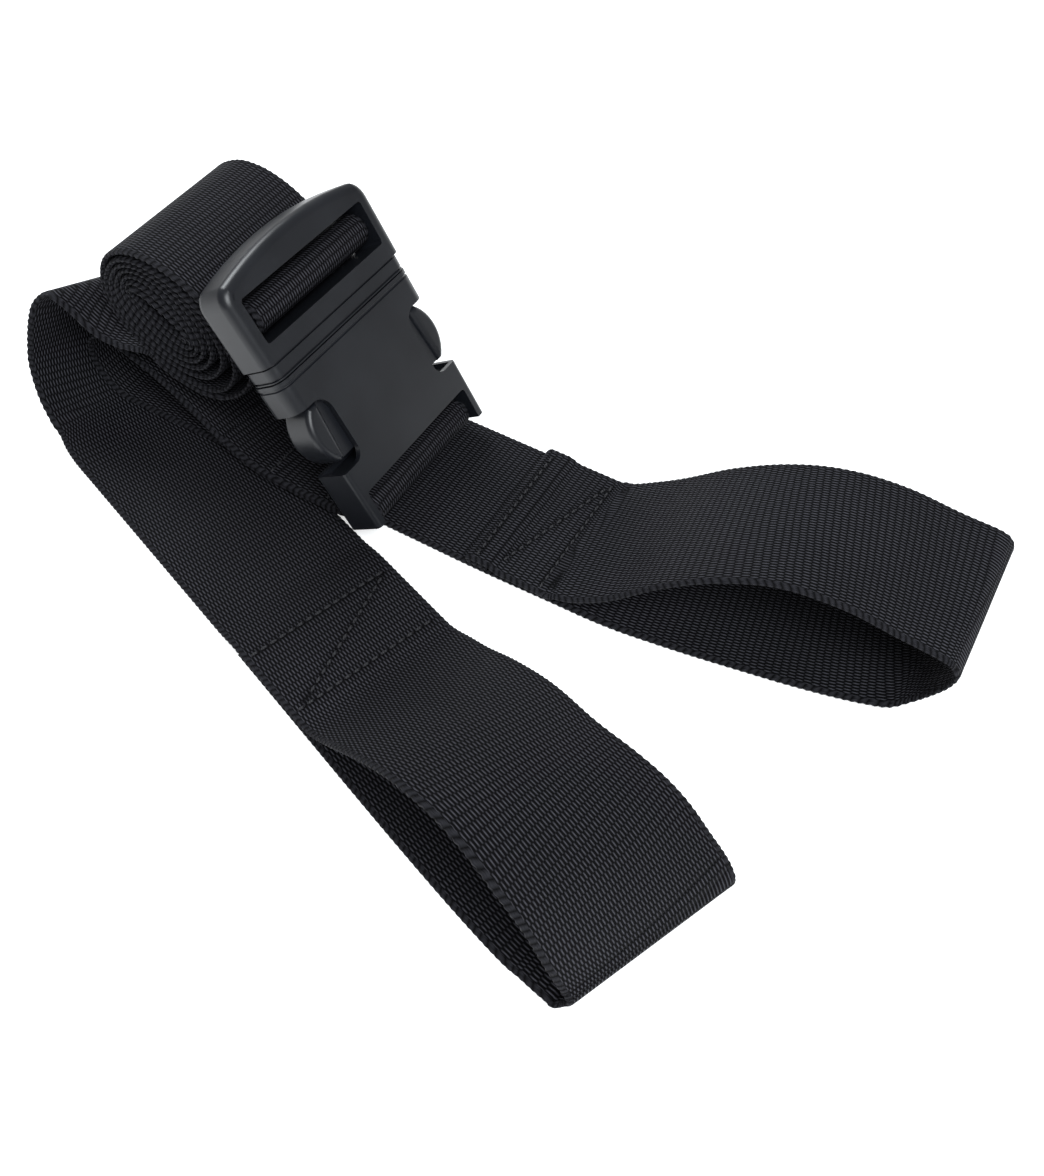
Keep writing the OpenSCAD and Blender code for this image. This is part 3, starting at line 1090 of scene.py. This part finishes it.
@dataclass
class FixedStrap:
    """The strap that is sewn to the female half's bar."""

    end_x: float = 149.5
    height: float = 34.0
    hem: float = 14.5
    centre_y: float = -5.6

    def loop(self) -> list[Ring]:
        """The sewn loop, from its folded hem round to the run underneath."""
        h, e, m = self.height, self.end_x, self.hem
        rings = [
            (22, 0, LEVEL[1], 90, 0),
            (m + 2, 0, LEVEL[1], 90, 0),
            (m + 0.7, 0, (LEVEL[1] + LEVEL[2]) / 2, 90, 0),
            (m + 2, 0, LEVEL[2], 90, 0),
            (18, 0, LEVEL[2], 90, 0),
            (21.5, 0, LEVEL[2], 90, 0),
            (23, 0, LEVEL[2] - 0.2, 90, 0),
            (25.5, 0, LEVEL[1] + 0.2, 90, 0),
            (27, 0, LEVEL[1], 90, 0),
            (33, 0, LEVEL[1], 90, 0),
            (38, 0, LEVEL[1], 90, 0),
            (41, 0, 2.35, 90, 0),
            (44, 0.5, 2.9, 90, 0),
            (50, 1, 5.6, 90, -2),
            (60, 2, h * 0.36, 90, -2),
            (73, 4, h * 0.68, 90, 1),
            (87, 7, h * 0.91, 90, 4),
            (102, 11, h, 90, 6),
            (118, 15, h - 2.3, 90, 5),
            (133, 18, 26.8, 90, 3),
            (145, 19.5, 24, 90, 1),
            (e - 1, 19.5, 22, 90, 0),
            (e, 19.5, 19, 90, 0),
            (147.5, 19, 13, 90, 0),
            (142, 18, 5, 90, 0),
            (133, 15, 1.3, 90, 0),
            (113, 10, LEVEL[0] + 0.1, 90, 0),
            (92, 6, LEVEL[0], 90, 0),
            (74, 3, LEVEL[0], 90, 0),
            (58, 1, LEVEL[0], 90, 0),
        ]
        return rings

    def run(self) -> list[Ring]:
        """The run on the surface and the low bend at its left end."""
        return [
            (41, 0.5, LEVEL[0], 90, 0),
            (20, 0, LEVEL[0], 90, 0),
            (-5, 0, LEVEL[0], 90, 0),
            (-22, 0, LEVEL[0], 90, 0),
            (-27, 0, LEVEL[0] + 0.25, 90, 0),
            (-37, 0, LEVEL[1] - 0.25, 90, 0),
            (-42, 0, LEVEL[1], 90, 0),
            (-70, 0, LEVEL[1], 90, 0),
            (-108, 0, LEVEL[1], 90, 0),
            (-117, 0, 3.4, 90, 0),
            (-122.5, 0, 8.5, 90, 0),
            (-124.2, 0, 16, 90, 0),
            (-122, 0, 23.5, 90, 0),
            (-116, 0, 27.5, 90, 0),
            (-108, 0, 25.5, 90, 0),
            (-96, 0, 20, 90, 0),
            (-84, -1, 13.8, 90, 0),
            (-72, -2.5, 7.6, 90, 0),
            (-62, -4, 4.6, 90, 0),
            (-54, -5, LEVEL[2], 90, 0),
            (-46, self.centre_y, LEVEL[2], 90, 0),
            (-32, self.centre_y, LEVEL[2], 90, 0),
        ]

    def round_bar(self, place: BucklePlace) -> list[Ring]:
        """Goes under the bar, round it and back over the run.

        Args:
            place: where the buckle is.

        Returns:
            The rings.
        """
        bar, y = place.bar / MM, self.centre_y
        turn, dip = place.ring(0, 0, 0)[3:]
        rings: list[Ring] = [
            (-25, y, LEVEL[2] + 0.1, turn, dip * 0.3),
            (-19, y, 5.6, turn, dip * 0.8),
        ]
        for a in (-95, -60, -25, 10, 45, 80, 115, 150):
            x = bar.x + 4.0 * math.cos(math.radians(a))
            z = bar.z + 4.0 * math.sin(math.radians(a))
            rings.append((x, y, z, turn, dip))
        rings += [
            (bar.x - 5.2, y, bar.z - 1.6, turn, dip),
            (-24.5, y, 6.7, turn, dip * 0.5),
            (-30, y, LEVEL[3] + 0.1, 90, 0),
            (-46, y, LEVEL[3], 90, 0),
            (-54, -5, LEVEL[3], 90, 0),
            (-62, -4, 4.6 + LAYER, 90, 0),
            (-71, -2.5, 8.8, 90, 0),
        ]
        return rings

    def build(self, place: BucklePlace) -> bpy.types.Object:
        """Makes the strap as one piece, with its finish.

        Args:
            place: where the buckle is.

        Returns:
            The finished piece.
        """
        loop = self.loop()
        rings = loop + self.run() + self.round_bar(place)
        at = Webbing("", loop, 0, 4).measure() - 18
        near, far = 3.0, 47.0
        lines = (
            Pressed((at + 18, near), (at + 18, far)),
            Pressed((at + 39.2, near), (at + 39.2, far)),
            Pressed((at + 25, 5), (at + 38, 45)),
            Pressed((at + 22.8, 0), (at + 22.8, 50), 1.0, 0.5),
        )
        cloth = WovenFinish("black_webbing_fixed", pressed=lines).material()
        piece = Webbing("fixed_webbing", rings).build(cloth)
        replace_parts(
            piece,
            "fixed_strap_loop",
            "fixed_strap_floor_run",
            "fixed_strap_inner_bend",
            "fixed_strap_return_run",
            "fixed_strap_sewn_end",
            "fixed_strap_bar_wrap",
        )
        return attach(piece, "root")

    def seams(self) -> list[bpy.types.Object]:
        """The seam of the loop and the one beside the bar."""
        low = LEVEL[1] + 0.7 + 0.12
        loop_rows = [
            StitchRow((18, -23, low + LAYER), (18, 23, low + LAYER)),
            StitchRow((39.0, -23, low + 0.02), (39.0, 23, low + 0.02)),
            StitchRow((25, -20, low), (38, 20, low)),
        ]
        top, y = LEVEL[3] + 0.7 + 0.12, self.centre_y
        bar_rows = [
            StitchRow((-52, y - 23, top), (-52, y + 23, top)),
            StitchRow((-31, y - 23, top + 0.1), (-31, y + 23, top + 0.1)),
        ]
        loop = Seam("fixed_loop_seam", loop_rows)
        bar = Seam("fixed_bar_seam", bar_rows)
        made = [
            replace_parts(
                loop.build(ThreadFinish("black_thread_loop").material()),
                "fixed_loop_stitching",
            ),
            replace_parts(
                bar.build(ThreadFinish("black_thread_bar").material()),
                "fixed_bar_stitching",
            ),
        ]
        return [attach(piece, "root") for piece in made]


# ---------------------------------------------------------------- buckle


@dataclass
class FemaleHalf:
    """The hollow half, with side windows and a bar between two rails."""

    mouth: float = 27.3
    end: float = 77.6
    half: float = 30.75
    rail_half: float = 28.8
    rise: float = 6.5
    window: tuple[float, float, float] = (37.0, 58.4, 19.6)
    slot_x: float = 67.0
    slot_half: float = 25.7
    bar: tuple[float, float] = (74.0, 3.2)

    def build(self, place: BucklePlace, skin: bpy.types.Material) -> bpy.types.Object:
        """Makes the shell.

        Args:
            place: where the buckle is.
            skin: its finish.

        Returns:
            The finished piece.
        """
        h, r, z = self.half, self.rail_half, self.rise
        shell = Solid.block("female_shell", (self.mouth, -h, -z), (57.5, h, z))
        shell.round_edges(lambda a, b: abs(a.x - b.x) > 5, 4.2, 6)
        shell.slice_at(Axis.X, (28.5, 28.75, 29.15, 29.4))
        shell.narrow(lambda p: 28.6 < p.x < 29.3, (1, (h - 0.45) / h, (z - 0.45) / z))
        rails = Solid.block("rails", (56.5, -r, -z), (self.end, r, z))
        rails.round_edges(lambda a, b: abs(a.x - b.x) > 5, 1.6, 4)
        shell.add(rails)
        low, high, depth = self.window
        for side in (-1, 1):
            near, far = sorted((side * depth, side * (h + 12)))
            gap = Solid.block("window", (low, near, -z - 3), (high, far, z + 3))
            for x, radius in ((low, 5.0), (high, 3.5)):
                gap.round_edges(
                    lambda a, b, x=x, y=side * depth: abs(a.z - b.z) > 5
                    and abs(a.y - y) < SAME
                    and abs(a.x - x) < SAME,
                    radius,
                    10,
                )
            shell.cut(gap)
        shell.cut(
            Solid.block("cavity", (self.mouth - 5, -27.6, -4.7), (60, 27.6, 4.7))
        )
        slot = Solid.block(
            "slot",
            (self.slot_x, -self.slot_half, -z - 3),
            (self.end + 8, self.slot_half, z + 3),
        )
        slot.round_edges(
            lambda a, b: max(a.x, b.x) < self.slot_x + SAME and abs(a.z - b.z) > 5,
            1.2,
            4,
        )
        shell.cut(slot)
        x, radius = self.bar
        shell.add(Solid.rod("bar", (x, 0, 0), radius, 2 * r - 3, Axis.Y))
        shell.soften(0.5)
        return dress(shell.place(place.matrix()), skin, "female", "female_body")


@dataclass
class MaleHalf:
    """The plug half: a bowed outer bar, the adjusting bar and a collar."""

    half: float = 31.0
    rise: float = 6.5
    seam_x: float = 22.2
    collar_end: float = 27.0
    collar: tuple[float, float] = (30.3, 6.2)
    bow: float = 4.2
    window: tuple[float, float, float] = (4.3, 17.5, 26.3)
    bar: tuple[float, float] = (11.0, 2.6)

    def build(self, place: BucklePlace, skin: bpy.types.Material) -> bpy.types.Object:
        """Makes the frame with its collar, plug and tongue.

        Args:
            place: where the buckle is.
            skin: its finish.

        Returns:
            The finished piece.
        """
        h, z = self.half, self.rise
        levels = (-27.5, -23, -17, -10, -3.5, 3.5, 10, 17, 23, 27.5)
        body = Solid.block("male_frame_shell", (0, -h, -z), (self.seam_x, h, z))
        body.slice_at(Axis.Y, levels)
        for y in (*levels, -h, h):
            body.shift(
                lambda p, y=y: p.x < SAME and abs(p.y - y) < 0.2,
                (-self.bow * (1 - (y / h) ** 2), 0, 0),
            )
        body.round_edges(
            lambda a, b: max(a.x, b.x) < SAME
            and abs(a.y) > h - SAME
            and abs(a.z - b.z) > 5,
            4.5,
            6,
        )
        body.round_edges(
            lambda a, b: abs(a.z - b.z) < SAME
            and abs(a.z) > z - SAME
            and (min(abs(a.y), abs(b.y)) > h - 5 or max(a.x, b.x) < 1.5)
            and not (min(a.x, b.x) > self.seam_x - SAME)
            and not (abs(a.y - b.y) < SAME and abs(a.y) < h - 0.2),
            3.0,
            6,
        )
        low, high, reach = self.window
        gap = Solid.block("window", (low, -reach, -z - 3), (high, reach, z + 3))
        gap.round_edges(lambda a, b: abs(a.z - b.z) > 5, 1.0, 4)
        body.cut(gap)
        x, radius = self.bar
        body.add(Solid.rod("bar", (x, 0, 0), radius, 2 * reach + 3, Axis.Y))
        wide, tall = self.collar
        collar = Solid.block(
            "collar", (20.0, -wide, -tall), (self.collar_end, wide, tall)
        )
        collar.round_edges(lambda a, b: abs(a.x - b.x) > 5, 3.6, 6)
        collar.slice_at(Axis.X, (22.25, 22.4, 22.75, 22.9, 26.0, 26.15, 26.5, 26.65))
        collar.narrow(
            lambda p: 22.3 < p.x < 22.8 or 26.1 < p.x < 26.6,
            (1, 1 - 0.6 / wide, 1 - 0.6 / tall),
        )
        body.add(collar)
        plug = Solid.block("plug", (26, -26.4, -4.3), (30.2, 26.4, 4.3))
        body.add(plug)
        tongue = Solid.block("tongue", (26, -6, -3), (55, 6, 3))
        tongue.round_edges(lambda a, b: min(a.x, b.x) > 54.9, 1.5, 3)
        body.add(tongue)
        body.soften(0.45)
        return dress(body.place(place.matrix()), skin, "male", "male_frame")


@dataclass
class SpringArm:
    """One arm of the male half, with the button that stands out of the side window."""

    side: int
    body: str
    node: str
    button: tuple[float, float, float] = (46.5, 18.2, 12.0)
    reach: tuple[float, float] = (37.6, 21.6)

    def build(self, place: BucklePlace, skin: bpy.types.Material) -> bpy.types.Object:
        """Makes the arm.

        Args:
            place: where the buckle is.
            skin: its finish.

        Returns:
            The finished piece.
        """
        cx, cy, r = self.button
        x0, y0 = self.reach
        s = self.side
        pad = Solid.rod(f"{self.node}_arm", (cx, s * cy, 0), r, 11.2, Axis.Z, 72)
        pad.cut(Solid.block("trim", (cx - 30, -60, -9), (x0, 60, 9)))
        pad.cut(Solid.block("trim", (55.5, -60, -9), (70, 60, 9)))
        near, far = sorted((s * y0, s * -60))
        inner = Solid.block("trim", (x0 - 10, near, -9), (cx + 15, far, 9))
        inner.shift(lambda p: p.x > cx and s * p.y > 0, (0, s * 3.2, 0))
        pad.cut(inner)
        pad.round_edges(
            lambda a, b: abs(a.z - b.z) < 0.01 and abs(a.z) > 5.5, 1.8, 6
        )
        for low, high in (
            ((30.8, 16.2, -4.3), (47.0, 24.0, 4.3)),
            ((44.0, 14.2, -4.3), (55.2, 25.2, 4.3)),
        ):
            y = sorted((s * low[1], s * high[1]))
            beam = Solid.block("beam", (low[0], y[0], low[2]), (high[0], y[1], high[2]))
            beam.round_edges(lambda a, b: abs(a.z - b.z) > 5, 1.2, 4)
            pad.add(beam)
        pad.soften(0.4)
        return dress(pad.place(place.matrix()), skin, self.body, self.node)


def dress(
    piece: bpy.types.Object, skin: bpy.types.Material, body: str, node: str
) -> bpy.types.Object:
    """Finishes a moulded piece.

    Args:
        piece: the piece.
        skin: its finish.
        body: the body that it rides on.
        node: the CAD node that it stands for.

    Returns:
        The same piece.
    """
    piece.data.materials.clear()
    piece.data.materials.append(skin)
    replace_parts(piece, node)
    LOG.info("%s: %d faces", piece.name, len(piece.data.polygons))
    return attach(piece, body)


# ---------------------------------------------------------------- studio


@dataclass
class Studio:
    """The pale surface, the soft lights and the camera."""

    eye: Point = (130.4, -191.4, 263.7)
    azimuth: float = 30.0
    elevation: float = 53.72
    roll: float = 0.47
    lens: float = 39.18
    surround: float = 0.25

    def build(self) -> None:
        """Sets the whole studio up."""
        self._surface()
        self._surround()
        self._light("key", (0.75, -0.55, 1.2), 0.8, 20.0)
        self._light("rim", (-0.75, 0.35, 0.9), 0.5, 9.0)
        self._camera()
        bpy.context.scene.view_settings.view_transform = "Standard"

    def _surface(self) -> None:
        """The surface that the strap lies on."""
        bpy.ops.object.select_all(action="DESELECT")
        bpy.ops.mesh.primitive_plane_add(size=30)
        floor = bpy.context.object
        floor.name = "surface"
        floor.data.materials.append(PaperFinish().material())

    def _surround(self) -> None:
        """Even white light from all round."""
        world = bpy.data.worlds.new("surround")
        world.use_nodes = True
        sky = world.node_tree.nodes["Background"]
        sky.inputs[0].default_value = (1, 1, 1, 1)
        sky.inputs[1].default_value = self.surround
        bpy.context.scene.world = world

    def _light(self, name: str, at: Point, size: float, power: float) -> None:
        """One square soft light that faces the strap."""
        bpy.ops.object.light_add(type="AREA", location=at)
        lamp = bpy.context.object
        lamp.name, lamp.data.size, lamp.data.energy = name, size, power
        lamp.data.color = (0.93, 0.97, 1.0)
        aim = Vector((0, 0, 0.03)) - Vector(at)
        lamp.rotation_euler = aim.to_track_quat("-Z", "Y").to_euler()

    def _camera(self) -> None:
        """The camera."""
        data = bpy.data.cameras.new("camera")
        camera = bpy.data.objects.new("camera", data)
        bpy.context.scene.collection.objects.link(camera)
        data.sensor_fit, data.sensor_width, data.lens = "HORIZONTAL", 36.0, self.lens
        data.clip_start = 0.01
        turn = Matrix.Rotation(math.radians(self.azimuth), 4, "Z")
        tilt = Matrix.Rotation(math.radians(90 - self.elevation), 4, "X")
        spin = Matrix.Rotation(math.radians(self.roll), 4, "Z")
        at = Matrix.Translation(Vector(self.eye) * MM)
        camera.matrix_world = at @ turn @ tilt @ spin
        bpy.context.scene.camera = camera


def main() -> None:
    """Builds the studio and every piece."""
    logging.basicConfig(level=logging.INFO, format="%(message)s")
    Studio().build()
    place = BucklePlace()
    skin = MouldedFinish("charcoal_plastic").material()
    strap = AdjustableStrap()
    strap.build(place, Roll())
    strap.seam()
    fixed = FixedStrap()
    fixed.build(place)
    fixed.seams()
    FemaleHalf().build(place, skin)
    MaleHalf().build(place, skin)
    SpringArm(-1, "arm_near", "male_arm_near").build(place, skin)
    SpringArm(1, "arm_far", "male_arm_far").build(place, skin)


if __name__ == "__main__":
    main()
